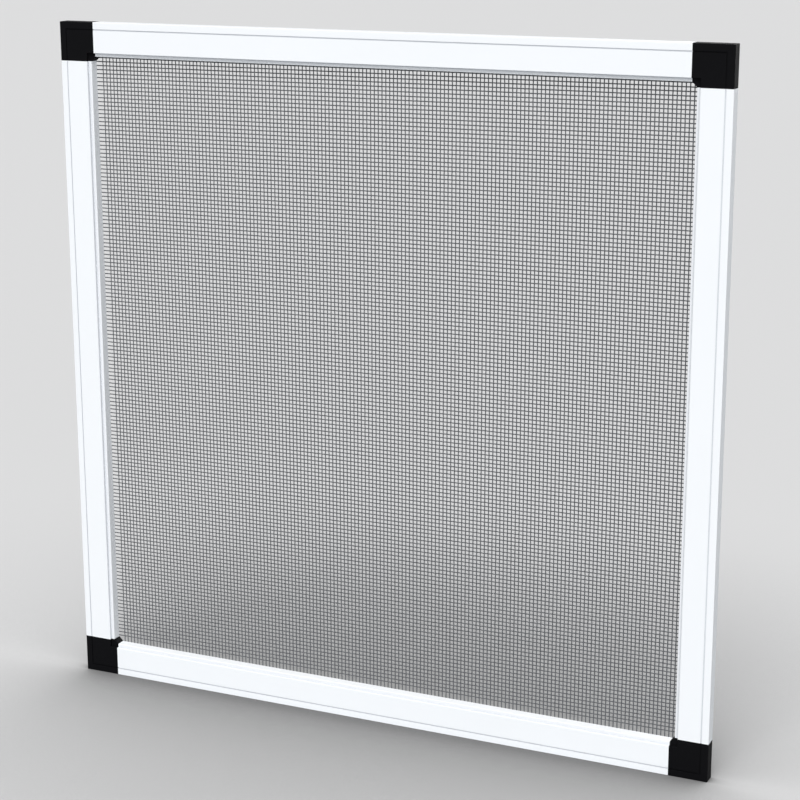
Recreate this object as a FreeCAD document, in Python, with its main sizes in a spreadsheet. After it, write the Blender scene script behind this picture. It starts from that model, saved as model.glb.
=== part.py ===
import FreeCAD, Part
import os
import re
import Sketcher

# Driving sizes in millimetres. A profile's own section is measured from its outer edge
# towards the opening, and from the front face towards the back.
sizes = {
    "frame_width": 510,
    "frame_height": 510,
    "profile_face": 25,
    "profile_depth": 10,
    "profile_wall": 1.2,
    "edge_round": 0.4,
    "rebate_width": 2.6,
    "rebate_depth": 2,
    "lip_round": 0.4,
    "line_offset": 5.4,
    "line_width": 0.9,
    "line_depth": 0.6,
    "corner_face": 28.5,
    "leg_length": 40,
    "leg_clearance": 0.15,
    "leg_wall": 1.8,
    "leg_taper": 1.6,
    "tooth_start": 6,
    "tooth_pitch": 8,
    "tooth_run": 5,
    "spline_diameter": 3.8,
    "spline_clearance": 0.05,
    "spline_cover": 1.5,
    "spline_flute": 0.5,
    "yarn_thick": 0.3,
    "yarn_width": 0.9,
    "mesh_pitch": 3.9,
    "mesh_inset": 0.1,
    "hem_depth": 3.2,
}
tooth_count = 4
flute_count = 8

# Places in the section that follow from the driving sizes.
lip_inner = "(profile_face - profile_wall)"
channel_width = "(spline_diameter + yarn_thick + 2 * spline_clearance)"
web_inner = f"({lip_inner} - {channel_width})"
web_outer = f"({web_inner} - profile_wall)"
channel_depth = "(spline_cover + spline_diameter + spline_clearance)"
channel_floor = f"(profile_depth - {channel_depth})"
lip_drop = "(mesh_inset + 2 * yarn_thick)"
lip_top = f"(profile_depth - {lip_drop})"
rebate_edge = "(profile_face - rebate_width)"
line_near = "(line_offset - line_width / 2)"
line_far = "(line_offset + line_width / 2)"
chamber_back = "(profile_depth - profile_wall)"

doc = FreeCAD.newDocument("window_screen_frame")
sheet = doc.addObject("Spreadsheet::Sheet", "Sizes")
for row, (name, size) in enumerate(sizes.items(), start=1):
    sheet.set(f"A{row}", name)
    sheet.set(f"B{row}", str(size))
    sheet.setAlias(f"B{row}", name)
doc.recompute()


def bound(text):
    """The text as a document expression, with every size read from the sheet."""
    return re.sub(r"[a-z_]+", lambda word: f"Sizes.{word[0]}" if word[0] in sizes else word[0], text)


def value(text):
    return float(sheet.evalExpression(bound(text)))


def bind(item, **settings):
    for setting, text in settings.items():
        item.setExpression(setting, bound(text))


def new_body(label):
    body = doc.addObject("PartDesign::Body", label)
    body.Label = label
    return body


def new_sketch(body, role, lift="0"):
    """A sketch on one of the body's own origin planes, lifted along the plane's normal."""
    sketch = body.newObject("Sketcher::SketchObject", "Sketch")
    plane = next(item for item in body.Origin.OriginFeatures if item.Role == role)
    sketch.AttachmentSupport = (plane, [""])
    sketch.MapMode = "FlatFace"
    sketch.setExpression("AttachmentOffset.Base.z", bound(lift))
    return sketch


def draw(sketch, corners, closed=True):
    """Straight lines from corner to corner, each corner held by its two distances from the origin."""
    places = [FreeCAD.Vector(value(across), value(up), 0) for across, up in corners]
    count = len(corners) if closed else len(corners) - 1
    first = sketch.GeometryCount
    for number in range(count):
        ends = (places[number], places[(number + 1) % len(corners)])
        sketch.addGeometry(Part.LineSegment(*ends), False)
    for number in range(count if closed else count - 1):
        following = first + (number + 1) % count
        sketch.addConstraint(Sketcher.Constraint("Coincident", first + number, 2, following, 1))
    for number, corner in enumerate(corners):
        line, end = (number, 1) if number < count else (number - 1, 2)
        for kind, text in zip(("DistanceX", "DistanceY"), corner):
            rule = Sketcher.Constraint(kind, -1, 1, first + line, end, value(text))
            index = sketch.addConstraint(rule)
            sketch.setExpression(f"Constraints[{index}]", bound(text))


def rectangle(left, bottom, right, top):
    return [(left, bottom), (right, bottom), (right, top), (left, top)]


def feature(body, kind, profile, **settings):
    """A Pad, Pocket or the like of one sketch, with its sizes bound to the sheet."""
    item = body.newObject(f"PartDesign::{kind}", kind)
    item.Profile = profile
    bind(item, **settings)
    return item


def through(pocket):
    pocket.Type = "ThroughAll"
    return pocket


def dressed(body, kind, picked, **settings):
    """A Fillet or Chamfer of the tip's edges whose middle is one that picked accepts."""
    doc.recompute()
    base = body.Tip
    middles = [edge.CenterOfMass for edge in base.Shape.Edges]
    names = [f"Edge{number}" for number, middle in enumerate(middles, start=1) if picked(middle)]
    item = body.newObject(f"PartDesign::{kind}", kind)
    item.Base = (base, names)
    bind(item, **settings)
    return item


def near(place, text):
    return abs(place - value(text)) < 0.01


def seat(body, side, across="0", depth="0", along="0"):
    """Turns a piece drawn for the left side to its own side and moves it to its place there."""
    ways = {
        "left": (0, f"-frame_width / 2 + {across}", along),
        "bottom": (-90, f"frame_width / 2 - {along}", across),
        "right": (180, f"frame_width / 2 - {across}", f"frame_height - {along}"),
        "top": (90, f"-frame_width / 2 + {along}", f"frame_height - {across}"),
    }
    angle, place_x, place_z = ways[side]
    body.Placement.Rotation = FreeCAD.Rotation(FreeCAD.Vector(0, 1, 0), angle)
    body.setExpression("Placement.Base.x", bound(place_x))
    body.setExpression("Placement.Base.y", bound(f"-profile_depth / 2 + {depth}"))
    body.setExpression("Placement.Base.z", bound(place_z))


def span(side):
    return "frame_height" if side in ("left", "right") else "frame_width"


def make_profile(label, side):
    """Hollow extrusion: chamber for the corner leg, channel for the spline, line and rebate in front."""
    body = new_body(label)
    section = new_sketch(body, "XY_Plane")
    draw(section, [
        ("0", "0"),
        (line_near, "0"),
        (line_near, "line_depth"),
        (line_far, "line_depth"),
        (line_far, "0"),
        (rebate_edge, "0"),
        (rebate_edge, "rebate_depth"),
        ("profile_face", "rebate_depth"),
        ("profile_face", lip_top),
        (lip_inner, lip_top),
        (lip_inner, channel_floor),
        (web_inner, channel_floor),
        (web_inner, "profile_depth"),
        ("0", "profile_depth"),
    ])
    chamber_inner = f"({rebate_edge} - profile_wall)"
    under_channel = f"({channel_floor} - profile_wall)"
    draw(section, [
        ("profile_wall", "profile_wall"),
        (chamber_inner, "profile_wall"),
        (chamber_inner, under_channel),
        (web_outer, under_channel),
        (web_outer, chamber_back),
        ("profile_wall", chamber_back),
    ])
    feature(body, "Pad", section, Length=f"{span(side)} - 2 * corner_face")

    def outer_edge(place):
        return near(place.x, "0") and (near(place.y, "0") or near(place.y, "profile_depth"))

    def rebate_line(place):
        on_face = near(place.x, rebate_edge) and near(place.y, "0")
        return on_face or near(place.x, "profile_face") and near(place.y, "rebate_depth")

    def lip_edge(place):
        return near(place.y, lip_top) and (near(place.x, lip_inner) or near(place.x, "profile_face"))

    def lengthwise(picked):
        middle = f"({span(side)} / 2 - corner_face)"
        return lambda place: picked(place) and near(place.z, middle)

    dressed(body, "Fillet", lengthwise(outer_edge), Radius="edge_round")
    dressed(body, "Fillet", lengthwise(rebate_line), Radius="edge_round")
    dressed(body, "Fillet", lengthwise(lip_edge), Radius="lip_round")
    seat(body, side, along="corner_face")
    return body


def leg_outline():
    """Side view of a corner leg, as (along, depth): barbs that bear on the chamber and a tapered tip."""
    front = "(profile_wall + leg_clearance)"
    back = f"({chamber_back} - leg_clearance)"
    tip = "(corner_face + leg_length)"
    starts = [f"(corner_face + tooth_start + {number} * tooth_pitch)" for number in range(tooth_count)]

    def face(level, wall):
        teeth = [[(at, level), (at, wall), (f"({at} + tooth_run)", level)] for at in starts]
        return [("corner_face", level), *sum(teeth, []), (f"({tip} - leg_taper)", level)]

    point = [(tip, f"({front} + leg_taper)"), (tip, f"({back} - leg_taper)")]
    return face(front, "profile_wall") + point + face(back, chamber_back)[::-1]


def make_corner(label, side):
    """Moulded corner: a head flush with both profiles, and a barbed leg for each of them."""
    body = new_body(label)
    plan = new_sketch(body, "XZ_Plane")
    draw(plan, rectangle("0", "0", "corner_face", "corner_face"))
    feature(body, "Pad", plan, Length="profile_depth").Reversed = True

    def inner_corner(place):
        return near(place.x, "corner_face") and near(place.z, "corner_face")

    dressed(body, "Chamfer", inner_corner, Size="corner_face - profile_face")

    # The rebate of both profiles meets in a square behind the small gusset.
    rebate = new_sketch(body, "XZ_Plane", "-rebate_depth")
    draw(rebate, rectangle(rebate_edge, rebate_edge, "corner_face", "corner_face"))
    through(feature(body, "Pocket", rebate)).Reversed = True

    front_line = new_sketch(body, "XZ_Plane", "-line_depth")
    draw(front_line, [
        (line_near, line_near),
        ("corner_face", line_near),
        ("corner_face", line_far),
        (line_far, line_far),
        (line_far, "corner_face"),
        (line_near, "corner_face"),
    ])
    through(feature(body, "Pocket", front_line)).Reversed = True

    channel = new_sketch(body, "XZ_Plane", f"-{channel_floor}")
    draw(channel, [
        (web_inner, web_inner),
        ("corner_face", web_inner),
        ("corner_face", lip_inner),
        (lip_inner, lip_inner),
        (lip_inner, "corner_face"),
        (web_inner, "corner_face"),
    ])
    through(feature(body, "Pocket", channel))
    lip = new_sketch(body, "XZ_Plane", f"-{lip_top}")
    draw(lip, rectangle(lip_inner, lip_inner, "corner_face", "corner_face"))
    through(feature(body, "Pocket", lip))

    def outer_edge(place):
        on_side = near(place.x, "0") or near(place.z, "0")
        on_face = near(place.y, "0") or near(place.y, "profile_depth")
        return on_side and on_face or near(place.x, "0") and near(place.z, "0")

    def rebate_line(place):
        on_line = near(place.x, rebate_edge) or near(place.z, rebate_edge)
        return near(place.y, "0") and on_line

    def gusset_line(place):
        return near(place.y, "rebate_depth") and near(place.x, "(profile_face + corner_face) / 2")

    dressed(body, "Fillet", outer_edge, Radius="edge_round")
    dressed(body, "Fillet", rebate_line, Radius="edge_round")
    dressed(body, "Fillet", gusset_line, Radius="edge_round")

    leg_side = "(profile_wall + leg_clearance)"
    leg_width = f"{web_outer} - profile_wall - 2 * leg_clearance"
    rail_leg = new_sketch(body, "XY_Plane", leg_side)
    draw(rail_leg, leg_outline())
    feature(body, "Pad", rail_leg, Length=leg_width)
    stile_leg = new_sketch(body, "YZ_Plane", leg_side)
    draw(stile_leg, [(depth, along) for along, depth in leg_outline()])
    feature(body, "Pad", stile_leg, Length=leg_width)

    # Each leg is cored out from the back, as a moulding is.
    core = new_sketch(body, "XZ_Plane", f"-({leg_side} + leg_wall)")
    near_side = f"({leg_side} + leg_wall)"
    far_side = f"({web_outer} - leg_clearance - leg_wall)"
    core_start = "(corner_face + leg_wall)"
    core_end = "(corner_face + leg_length - leg_taper - leg_wall)"
    draw(core, rectangle(core_start, near_side, core_end, far_side))
    draw(core, rectangle(near_side, core_start, far_side, core_end))
    through(feature(body, "Pocket", core))
    seat(body, side)
    return body


def make_spline(label, side):
    """Fluted cord that lies in the channel and holds the folded edge of the mesh."""
    body = new_body(label)
    section = new_sketch(body, "XY_Plane")
    centre = FreeCAD.Vector(0, 0, 0)
    section.addGeometry(Part.Circle(centre, FreeCAD.Vector(0, 0, 1), value("spline_diameter / 2")), False)
    section.addConstraint(Sketcher.Constraint("Coincident", 0, 3, -1, 1))
    size = section.addConstraint(Sketcher.Constraint("Diameter", 0, value("spline_diameter")))
    section.setExpression(f"Constraints[{size}]", bound("spline_diameter"))
    # The upright cords run through both corners, and the level ones end against them.
    beside = f"({web_inner} + spline_diameter + 2 * spline_clearance)"
    start = f"({web_inner} + spline_clearance)" if side in ("left", "right") else beside
    length = f"{span(side)} - 2 * {start}"
    feature(body, "Pad", section, Length=length)
    flute = new_sketch(body, "XY_Plane")
    rim = "spline_diameter / 2"
    draw(flute, [
        (f"{rim} - spline_flute / 2", "0"),
        (f"{rim} + spline_flute / 2", "-spline_flute"),
        (f"{rim} + spline_flute / 2", "spline_flute"),
    ])
    cut = through(feature(body, "Pocket", flute))
    cut.Reversed = True
    doc.recompute()
    flutes = body.newObject("PartDesign::PolarPattern", "PolarPattern")
    flutes.Originals = [cut]
    flutes.Axis = (section, ["N_Axis"])
    flutes.Angle = 360
    flutes.Occurrences = flute_count
    body.Tip = flutes
    across = f"({web_inner} + spline_clearance + spline_diameter / 2)"
    depth = f"({channel_floor} + spline_clearance + spline_diameter / 2)"
    seat(body, side, across, depth, start)
    return body


def make_yarns(label, role, level, breadth, length):
    """One set of parallel yarns as a slit sheet, its two ends folded down into the channels.

    breadth runs across the yarns and length along them; level is the depth of the sheet's front face.
    """
    body = new_body(label)
    upright = role == "YZ_Plane"
    hem = f"({lip_inner} - yarn_thick)"
    low = f"({lip_top} - hem_depth)"
    rear = f"({level} + yarn_thick)"
    fold = [
        (lip_inner, level),
        (lip_inner, low),
        (hem, low),
        (hem, rear),
        (f"{length} - {hem}", rear),
        (f"{length} - {hem}", low),
        (f"{length} - {lip_inner}", low),
        (f"{length} - {lip_inner}", level),
    ]
    section = new_sketch(body, role, lip_inner)
    draw(section, [(depth, along) if upright else (along, depth) for along, depth in fold])
    feature(body, "Pad", section, Length=f"{breadth} - 2 * {lip_inner}")

    gaps = f"floor(({breadth} - 2 * profile_face - yarn_width) / mesh_pitch)"
    first = f"({breadth} / 2 - {gaps} * mesh_pitch / 2 + yarn_width / 2)"
    last = f"({first} + mesh_pitch - yarn_width)"
    slit = ("profile_face", first, f"({length} - profile_face)", last)
    if upright:
        slit = (first, "profile_face", last, f"({length} - profile_face)")
    opening = new_sketch(body, "XZ_Plane")
    draw(opening, rectangle(*slit))
    cut = through(feature(body, "Pocket", opening))
    doc.recompute()
    row = body.newObject("PartDesign::LinearPattern", "LinearPattern")
    row.Originals = [cut]
    row.Direction = (opening, ["H_Axis" if upright else "V_Axis"])
    bind(row, Length=f"({gaps} - 1) * mesh_pitch", Occurrences=gaps)
    body.Tip = row
    seat(body, "left")
    return body


def make_mesh(label):
    """The cloth: upright yarns on the lip, level yarns behind them."""
    warp = make_yarns("warp", "YZ_Plane", lip_top, "frame_width", "frame_height")
    weft_level = f"({lip_top} + yarn_thick)"
    weft = make_yarns("weft", "XY_Plane", weft_level, "frame_height", "frame_width")
    cloth = doc.addObject("Part::Compound", label)
    cloth.Label = label
    cloth.Links = [warp, weft]
    return cloth


sides = {"left": "left_stile", "right": "right_stile", "top": "top_rail", "bottom": "bottom_rail"}
corners = {"left": "bottom_left", "bottom": "bottom_right", "right": "top_right", "top": "top_left"}
nodes = [make_profile(label, side) for side, label in sides.items()]
nodes += [make_corner(f"corner_{place}", side) for side, place in corners.items()]
nodes += [make_spline(f"spline_{side}", side) for side in sides]
nodes.append(make_mesh("insect_mesh"))
doc.recompute()

for item in doc.Objects:
    if "Invalid" in item.State or "Error" in item.State:
        raise RuntimeError(f"{item.Label} did not build")
os.makedirs("parts", exist_ok=True)
for node in nodes:
    if node.Shape.isNull() or not node.Shape.isValid():
        raise RuntimeError(f"{node.Label} has no sound shape")
    node.Shape.exportStep(f"parts/{node.Label}.step")
    box = node.Shape.BoundBox
    solids = len(node.Shape.Solids)
    print(f"{node.Label}: {solids} solid, {node.Shape.Volume:.0f} mm3,"
          f" {box.XLength:.1f} x {box.YLength:.1f} x {box.ZLength:.1f} mm")
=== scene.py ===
import math
import bpy
import numpy as np
from mathutils import Matrix, Vector


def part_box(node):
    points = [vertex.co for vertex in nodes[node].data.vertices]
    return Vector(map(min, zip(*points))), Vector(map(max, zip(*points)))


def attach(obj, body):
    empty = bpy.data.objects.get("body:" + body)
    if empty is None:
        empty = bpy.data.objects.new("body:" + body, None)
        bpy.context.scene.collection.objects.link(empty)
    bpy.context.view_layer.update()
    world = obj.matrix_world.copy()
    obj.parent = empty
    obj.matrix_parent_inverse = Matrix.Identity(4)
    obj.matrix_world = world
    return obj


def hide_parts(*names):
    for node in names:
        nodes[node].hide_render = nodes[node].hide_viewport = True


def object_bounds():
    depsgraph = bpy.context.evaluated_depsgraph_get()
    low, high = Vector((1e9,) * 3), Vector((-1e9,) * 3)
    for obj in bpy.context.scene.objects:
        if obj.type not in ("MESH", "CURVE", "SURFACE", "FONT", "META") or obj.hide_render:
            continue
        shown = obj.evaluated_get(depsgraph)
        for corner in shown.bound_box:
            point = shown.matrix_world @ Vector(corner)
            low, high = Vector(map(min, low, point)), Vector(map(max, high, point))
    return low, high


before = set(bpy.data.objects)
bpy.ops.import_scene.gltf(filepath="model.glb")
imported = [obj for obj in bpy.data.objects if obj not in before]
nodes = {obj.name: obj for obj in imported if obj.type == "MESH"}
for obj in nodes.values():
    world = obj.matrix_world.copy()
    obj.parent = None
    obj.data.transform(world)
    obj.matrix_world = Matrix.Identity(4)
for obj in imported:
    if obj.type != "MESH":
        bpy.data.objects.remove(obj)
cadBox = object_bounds()
mm = 0.001
scene = bpy.context.scene
scene.view_settings.view_transform = "Standard"
print("frame loaded:", len(nodes), "nodes")


def linear(hexColour):  # sRGB hex to the linear colour that sockets take
    parts = [int(hexColour[i:i + 2], 16) / 255 for i in (1, 3, 5)]
    return [c / 12.92 if c <= 0.04045 else ((c + 0.055) / 1.055) ** 2.4 for c in parts] + [1.0]


def addNode(tree, kind, links=(), **settings):  # settings name properties or input sockets
    node = tree.nodes.new(kind)
    for name, setting in settings.items():
        if hasattr(node, name):
            setattr(node, name, setting)
        else:
            node.inputs[name.replace("_", " ")].default_value = setting
    for socket, source in dict(links).items():
        tree.links.new(source, node.inputs[socket])
    return node


def newMaterial(name):
    material = bpy.data.materials.new(name)
    material.use_nodes = True
    tree = material.node_tree
    tree.nodes.clear()
    place = addNode(tree, "ShaderNodeTexCoord").outputs["Object"]
    return material, tree, place


# White polyester powder coat on extruded aluminium, sprayed and baked: satin, with a slight orange peel,
# and with painted shade that greys it in grooves and inner corners
powderCoat = {
    "colour": "#F6F8FA", "shade": "#F3F5F7", "patch": 60 * mm,
    "paintedShade": "#C3C6CC", "reach": 4 * mm, "shadePower": 1.6,  # a power: how soon the painted shade sets in
    "peel": 1.6 * mm,  # real orange peel is nearer 0.8 mm; drawn coarser so that it shows
    "peelHeight": 0.012 * mm, "roughness": (0.34, 0.44), "ior": 1.5,
}


def makePowderCoat(look):
    material, tree, place = newMaterial("powder_coated_aluminium")
    patch = addNode(tree, "ShaderNodeTexNoise", {"Vector": place}, Scale=1 / look["patch"], Detail=2.0)
    peel = addNode(tree, "ShaderNodeTexNoise", {"Vector": place}, Scale=1 / look["peel"], Detail=1.5)
    tint = addNode(tree, "ShaderNodeMix", {"Factor": patch.outputs["Fac"]}, data_type="RGBA")
    tint.inputs["A"].default_value = linear(look["colour"])
    tint.inputs["B"].default_value = linear(look["shade"])
    # Painted shade: the coat's colour greys towards the shade colour where ambient occlusion finds walls
    # close by
    openness = addNode(tree, "ShaderNodeAmbientOcclusion", samples=8, only_local=True,
                       Distance=look["reach"])
    unshaded = addNode(tree, "ShaderNodeMath", {0: openness.outputs["AO"]}, operation="POWER")
    unshaded.inputs[1].default_value = look["shadePower"]
    shadedCoat = addNode(tree, "ShaderNodeMix", {
        "Factor": unshaded.outputs[0],
        "B": tint.outputs["Result"],
    }, data_type="RGBA")
    shadedCoat.inputs["A"].default_value = linear(look["paintedShade"])
    low, high = look["roughness"]
    gloss = addNode(tree, "ShaderNodeMapRange", {"Value": peel.outputs["Fac"]}, To_Min=low, To_Max=high)
    bump = addNode(tree, "ShaderNodeBump", {"Height": peel.outputs["Fac"]}, Distance=look["peelHeight"])
    skin = addNode(tree, "ShaderNodeBsdfPrincipled", {
        "Base Color": shadedCoat.outputs["Result"],
        "Roughness": gloss.outputs["Result"],
        "Normal": bump.outputs["Normal"],
    }, IOR=look["ior"])
    addNode(tree, "ShaderNodeOutputMaterial", {"Surface": skin.outputs["BSDF"]})
    return material


# Black ABS, injection moulded in a spark-eroded tool: a dull, finely grained black
blackAbs = {
    "colour": "#0A0A0C", "worn": "#0E0E10", "flow": 9 * mm,
    "grain": 0.7 * mm,  # real grain is about 0.1 mm; drawn coarser so that it shows
    "grainHeight": 0.02 * mm, "roughness": (0.62, 0.76), "ior": 1.45,
    "specular": 0.06,  # well under the usual 0.5, to match the dull black
}


def makeBlackAbs(look):
    material, tree, place = newMaterial("moulded_abs")
    flow = addNode(tree, "ShaderNodeTexNoise", {"Vector": place}, Scale=1 / look["flow"], Detail=3.0)
    grain = addNode(tree, "ShaderNodeTexNoise", {"Vector": place}, Scale=1 / look["grain"], Detail=2.0)
    tint = addNode(tree, "ShaderNodeMix", {"Factor": flow.outputs["Fac"]}, data_type="RGBA")
    tint.inputs["A"].default_value = linear(look["colour"])
    tint.inputs["B"].default_value = linear(look["worn"])
    low, high = look["roughness"]
    gloss = addNode(tree, "ShaderNodeMapRange", {"Value": grain.outputs["Fac"]}, To_Min=low, To_Max=high)
    bump = addNode(tree, "ShaderNodeBump", {"Height": grain.outputs["Fac"]}, Distance=look["grainHeight"])
    skin = addNode(tree, "ShaderNodeBsdfPrincipled", {
        "Base Color": tint.outputs["Result"],
        "Roughness": gloss.outputs["Result"],
        "Normal": bump.outputs["Normal"],
    }, IOR=look["ior"], Specular_IOR_Level=look["specular"])
    addNode(tree, "ShaderNodeOutputMaterial", {"Surface": skin.outputs["BSDF"]})
    return material


# Soft black vinyl, extruded with flutes: matt, slightly chalky on the high spots
softVinyl = {
    "colour": "#1A1A1B", "bloom": "#262628", "mottle": 3 * mm,
    "roughness": (0.55, 0.75), "ior": 1.5,
}


def makeSoftVinyl(look):
    material, tree, place = newMaterial("extruded_vinyl")
    mottle = addNode(tree, "ShaderNodeTexNoise", {"Vector": place}, Scale=1 / look["mottle"], Detail=4.0)
    tint = addNode(tree, "ShaderNodeMix", {"Factor": mottle.outputs["Fac"]}, data_type="RGBA")
    tint.inputs["A"].default_value = linear(look["colour"])
    tint.inputs["B"].default_value = linear(look["bloom"])
    low, high = look["roughness"]
    gloss = addNode(tree, "ShaderNodeMapRange", {"Value": mottle.outputs["Fac"]}, To_Min=low, To_Max=high)
    skin = addNode(tree, "ShaderNodeBsdfPrincipled", {
        "Base Color": tint.outputs["Result"],
        "Roughness": gloss.outputs["Result"],
    }, IOR=look["ior"])
    addNode(tree, "ShaderNodeOutputMaterial", {"Surface": skin.outputs["BSDF"]})
    return material


# Vinyl-coated fibreglass yarn, woven and heat-bonded: charcoal, with a soft sheen
coatedYarn = {
    "colour": "#585A5D", "light": "#646669", "slub": 6 * mm,
    "roughness": 0.6, "ior": 1.5,
}


def makeCoatedYarn(look):
    material, tree, place = newMaterial("coated_fibreglass_yarn")
    slub = addNode(tree, "ShaderNodeTexNoise", {"Vector": place}, Scale=1 / look["slub"], Detail=3.0)
    tint = addNode(tree, "ShaderNodeMix", {"Factor": slub.outputs["Fac"]}, data_type="RGBA")
    tint.inputs["A"].default_value = linear(look["colour"])
    tint.inputs["B"].default_value = linear(look["light"])
    skin = addNode(tree, "ShaderNodeBsdfPrincipled", {"Base Color": tint.outputs["Result"]},
                   Roughness=look["roughness"], IOR=look["ior"])
    addNode(tree, "ShaderNodeOutputMaterial", {"Surface": skin.outputs["BSDF"]})
    return material


# One finish for each family of CAD nodes
whiteCoat = makePowderCoat(powderCoat)
finishes = {
    "stile": whiteCoat, "rail": whiteCoat,
    "corner": makeBlackAbs(blackAbs), "spline": makeSoftVinyl(softVinyl),
}
for name, piece in nodes.items():
    for word, material in finishes.items():
        if word in name:
            piece.data.materials.clear()
            piece.data.materials.append(material)
print("finishes set")


# Woven insect cloth: upright warp and level weft yarns, over one and under the next
cloth = {
    "pitch": 2.95 * mm, "warps": 154, "wefts": 155,
    "firstWarp": 30.01 * mm, "firstWeft": 29.48 * mm,  # from the frame's left and lower edge
    "width": 0.84 * mm, "thick": 0.34 * mm, "sides": 4,
    "bend": 2.5,  # half thicknesses that a yarn takes to turn over the lip
    "cover": 0.3,  # share of the flat cloth that is yarn, an open weave
}


# Joins each side of a ring to the same side of the yarn's next ring, and closes both ends.
# The rings are an array of yarn, point, side and xyz; with four sides, walls and caps are all quads.
def tubeMesh(name, rings):
    yarns, points, sides = rings.shape[:3]
    index = np.arange(yarns * points * sides).reshape(yarns, points, sides)
    turned = np.roll(index, -1, axis=2)
    walls = np.stack([index[:, :-1], index[:, 1:], turned[:, 1:], turned[:, :-1]], axis=-1)
    caps = np.concatenate([index[:, 0], index[:, -1, ::-1]])
    quads = np.concatenate([walls.reshape(-1, sides), caps])
    mesh = bpy.data.meshes.new(name)
    mesh.vertices.add(rings.size // 3)
    mesh.vertices.foreach_set("co", rings.astype(np.float32).ravel())
    mesh.loops.add(quads.size)
    mesh.loops.foreach_set("vertex_index", quads.astype(np.int32).ravel())
    mesh.polygons.add(len(quads))
    mesh.polygons.foreach_set("loop_start", np.arange(0, quads.size, sides, dtype=np.int32))
    mesh.update(calc_edges=True)
    mesh.validate()
    mesh.polygons.foreach_set("use_smooth", np.ones(len(mesh.polygons), bool))
    return mesh


# Each yarn is a flat, four-sided oval carried along a path in the plane of its length and depth:
# up out of the channel, over the lip, then a zigzag of half a thickness at every crossing.
def wovenYarns(look, across, crossings, upright, low, high, middle, weave):
    half = look["thick"] / 2
    foot, head = low[2 if upright else 0] + half, high[2 if upright else 0] - half
    fold = np.array([[0, low[1] + half], [0, middle - 2 * half], [look["bend"] * half, middle]])
    along = np.concatenate([foot + fold[:, 0], crossings, head - fold[::-1, 0]])
    ends = np.tile(fold[:, 1], (len(across), 1))
    depth = np.concatenate([ends, middle + half * weave, ends[:, ::-1]], axis=1)
    along = np.broadcast_to(along, depth.shape)
    slope = np.stack([np.gradient(along, axis=1), np.gradient(depth, axis=1)], axis=-1)
    slope /= np.linalg.norm(slope, axis=-1, keepdims=True)
    angle = np.arange(look["sides"]) * 2 * math.pi / look["sides"]
    lift = half * np.sin(angle)
    side = across[:, None, None] + look["width"] / 2 * np.cos(angle)
    side = np.broadcast_to(side, depth.shape + angle.shape)
    run = along[..., None] - slope[..., 1:] * lift
    deep = depth[..., None] + slope[..., :1] * lift
    return np.stack([side, deep, run] if upright else [run, deep, side], axis=-1)


yarnMaterial = makeCoatedYarn(coatedYarn)
meshLow, meshHigh = (np.array(corner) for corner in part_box("insect_mesh"))
left, bottom = cadBox[0].x, cadBox[0].z
warpPlaces = left + cloth["firstWarp"] + cloth["pitch"] * np.arange(cloth["warps"])
weftPlaces = bottom + cloth["firstWeft"] + cloth["pitch"] * np.arange(cloth["wefts"])
over = 1 - 2 * (np.add.outer(np.arange(cloth["warps"]), np.arange(cloth["wefts"])) % 2)
middle = meshHigh[1] - cloth["thick"]
warpRings = wovenYarns(cloth, warpPlaces, weftPlaces, True, meshLow, meshHigh, middle, over)
weftRings = wovenYarns(cloth, weftPlaces, warpPlaces, False, meshLow, meshHigh, middle, -over.T)
for name, rings in (("warp_yarns", warpRings), ("weft_yarns", weftRings)):
    mesh = tubeMesh(name, rings)
    mesh.materials.append(yarnMaterial)
    piece = bpy.data.objects.new(name, mesh)
    scene.collection.objects.link(piece)
    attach(piece, "root")
    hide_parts("insect_mesh")
    print(name, len(mesh.polygons), "faces")


# Pale paper floor, wide enough to fill the view. The eye sees its pale colour with painted shadow, deeper
# where the frame shuts out the sky, and half of it as a painted glow that the lamps don't reach, so that
# their shadow stays soft, while the light that it throws back on the frame comes from a quieter grey
floor = {
    "colour": "#D9D9D9", "paintedShadow": "#000000", "bounce": "#898E92", "unlit": 0.5,
    "half": 30.0, "reach": 0.5, "depth": 1.8,  # metres, metres, power
}


def seenRays(tree):  # 1 for what the camera sees, straight or mirrored
    rays = addNode(tree, "ShaderNodeLightPath").outputs
    mirrored = addNode(tree, "ShaderNodeMath", {
        0: rays["Is Glossy Ray"],
        1: rays["Is Transmission Ray"],
    }, operation="MAXIMUM")
    seen = addNode(tree, "ShaderNodeMath", {
        0: rays["Is Camera Ray"],
        1: mirrored.outputs[0],
    }, operation="MAXIMUM")
    return seen.outputs[0]


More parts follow.
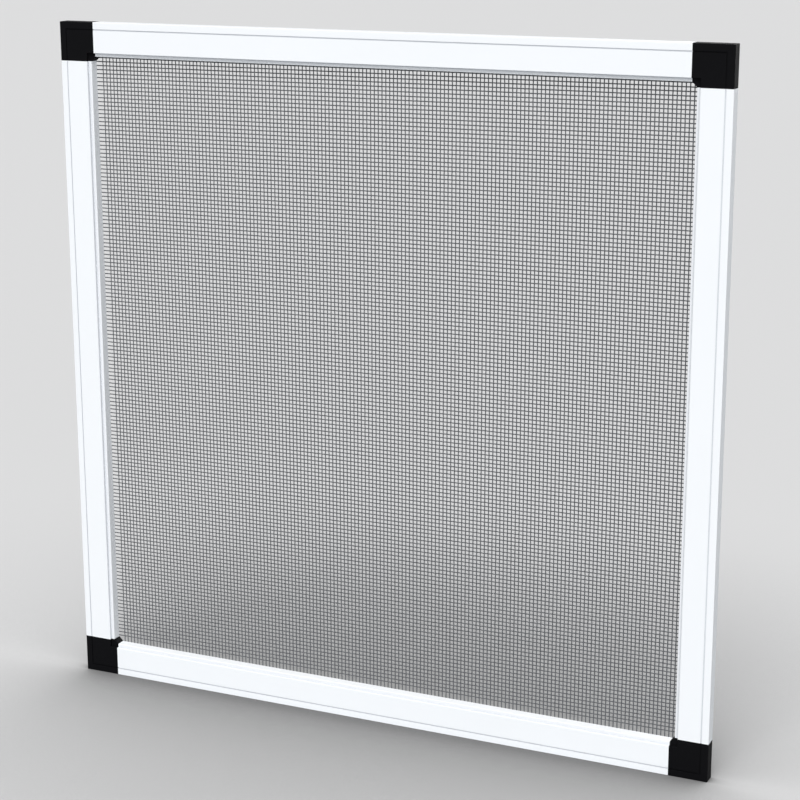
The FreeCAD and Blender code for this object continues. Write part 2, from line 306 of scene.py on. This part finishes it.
def makeFloor(look):
    half = look["half"]
    mesh = bpy.data.meshes.new("floor")
    corners = [(-half, -half, 0), (half, -half, 0), (half, half, 0), (-half, half, 0)]
    mesh.from_pydata(corners, [], [(0, 1, 2, 3)])
    material, tree, _ = newMaterial("matt_paper")
    # Painted shadow: the seen colour darkens towards black where ambient occlusion finds the frame
    sky = addNode(tree, "ShaderNodeAmbientOcclusion", samples=16, Distance=look["reach"])
    shade = addNode(tree, "ShaderNodeMath", {0: sky.outputs["AO"]}, operation="POWER")
    shade.inputs[1].default_value = look["depth"]
    ground = addNode(tree, "ShaderNodeMix", {"Factor": shade.outputs[0]}, data_type="RGBA")
    ground.inputs["A"].default_value = linear(look["paintedShadow"])
    ground.inputs["B"].default_value = linear(look["colour"])
    seen = seenRays(tree)
    tone = addNode(tree, "ShaderNodeMix", {"Factor": seen, "B": ground.outputs["Result"]}, data_type="RGBA")
    tone.inputs["A"].default_value = linear(look["bounce"])
    lit = addNode(tree, "ShaderNodeBsdfDiffuse", {"Color": tone.outputs["Result"]})
    # Painted light: half of the seen floor glows in its own shaded colour, which fills the lamps' shadow
    unlit = addNode(tree, "ShaderNodeEmission", {"Color": ground.outputs["Result"]})
    share = addNode(tree, "ShaderNodeMath", {0: seen}, operation="MULTIPLY")
    share.inputs[1].default_value = look["unlit"]
    paper = addNode(tree, "ShaderNodeMixShader", {
        0: share.outputs[0],
        1: lit.outputs[0],
        2: unlit.outputs[0],
    })
    addNode(tree, "ShaderNodeOutputMaterial", {"Surface": paper.outputs[0]})
    material.cycles.emission_sampling = "NONE"  # it lights nothing
    mesh.materials.append(material)
    piece = bpy.data.objects.new("floor", mesh)
    scene.collection.objects.link(piece)


makeFloor(floor)

# Soft studio light: a cool, even dome with a pale backdrop for the eye, a broad key from high in front,
# a low fill from the front right and a low lamp from behind. Angles are in degrees
studio = {
    "dome": 0.17, "domeColour": "#F2F6FF", "backdrop": "#DDDDDD",
    "key": {"azimuth": 6, "height": 56, "spread": 30, "strength": 2.66},
    "fill": {"azimuth": 28, "height": 8, "spread": 50, "strength": 1.82},
    "rear": {"azimuth": 175, "height": 10, "spread": 40, "strength": 2.2},
}


def makeLamp(name, look):
    data = bpy.data.lights.new(name, "SUN")
    data.energy = look["strength"]
    data.angle = math.radians(look["spread"])
    turn = Matrix.Rotation(math.radians(look["azimuth"]), 4, "Z")
    tip = Matrix.Rotation(math.radians(90 - look["height"]), 4, "X")
    lamp = bpy.data.objects.new(name, data)
    lamp.matrix_world = turn @ tip
    scene.collection.objects.link(lamp)


def makeDome(look):
    world = bpy.data.worlds.new("dome")
    world.use_nodes = True
    tree = world.node_tree
    tree.nodes.clear()
    dome = addNode(tree, "ShaderNodeBackground", Color=linear(look["domeColour"]), Strength=look["dome"])
    backdrop = addNode(tree, "ShaderNodeBackground", Color=linear(look["backdrop"]), Strength=1.0)
    both = addNode(tree, "ShaderNodeMixShader", {
        0: seenRays(tree),
        1: dome.outputs[0],
        2: backdrop.outputs[0],
    })
    addNode(tree, "ShaderNodeOutputWorld", {"Surface": both.outputs[0]})
    scene.world = world


makeDome(studio)
makeLamp("key", studio["key"])
makeLamp("fill", studio["fill"])
makeLamp("rear", studio["rear"])

# Camera solved from the frame's edges in the photograph
photoView = {
    "azimuth": 24.543, "lookDown": 14.667, "roll": -0.117,
    "place": (1.68632, -2.51301, 1.21569),  # in frame widths, from the lower left front corner
    "focal": 2040.06, "pixels": 800, "sensor": 36.0,
}


def makeCamera(look):
    data = bpy.data.cameras.new("camera")
    data.sensor_width = look["sensor"]
    data.lens = look["focal"] / look["pixels"] * look["sensor"]
    eye = bpy.data.objects.new("camera", data)
    width = cadBox[1].x - cadBox[0].x
    turn = Matrix.Rotation(math.radians(look["azimuth"]), 4, "Z")
    tip = Matrix.Rotation(math.radians(90 - look["lookDown"]), 4, "X")
    spin = Matrix.Rotation(math.radians(look["roll"]), 4, "Z")
    eye.matrix_world = Matrix.Translation(cadBox[0] + width * Vector(look["place"])) @ turn @ tip @ spin
    scene.collection.objects.link(eye)
    scene.camera = eye


makeCamera(photoView)
print("stage, light and camera set")
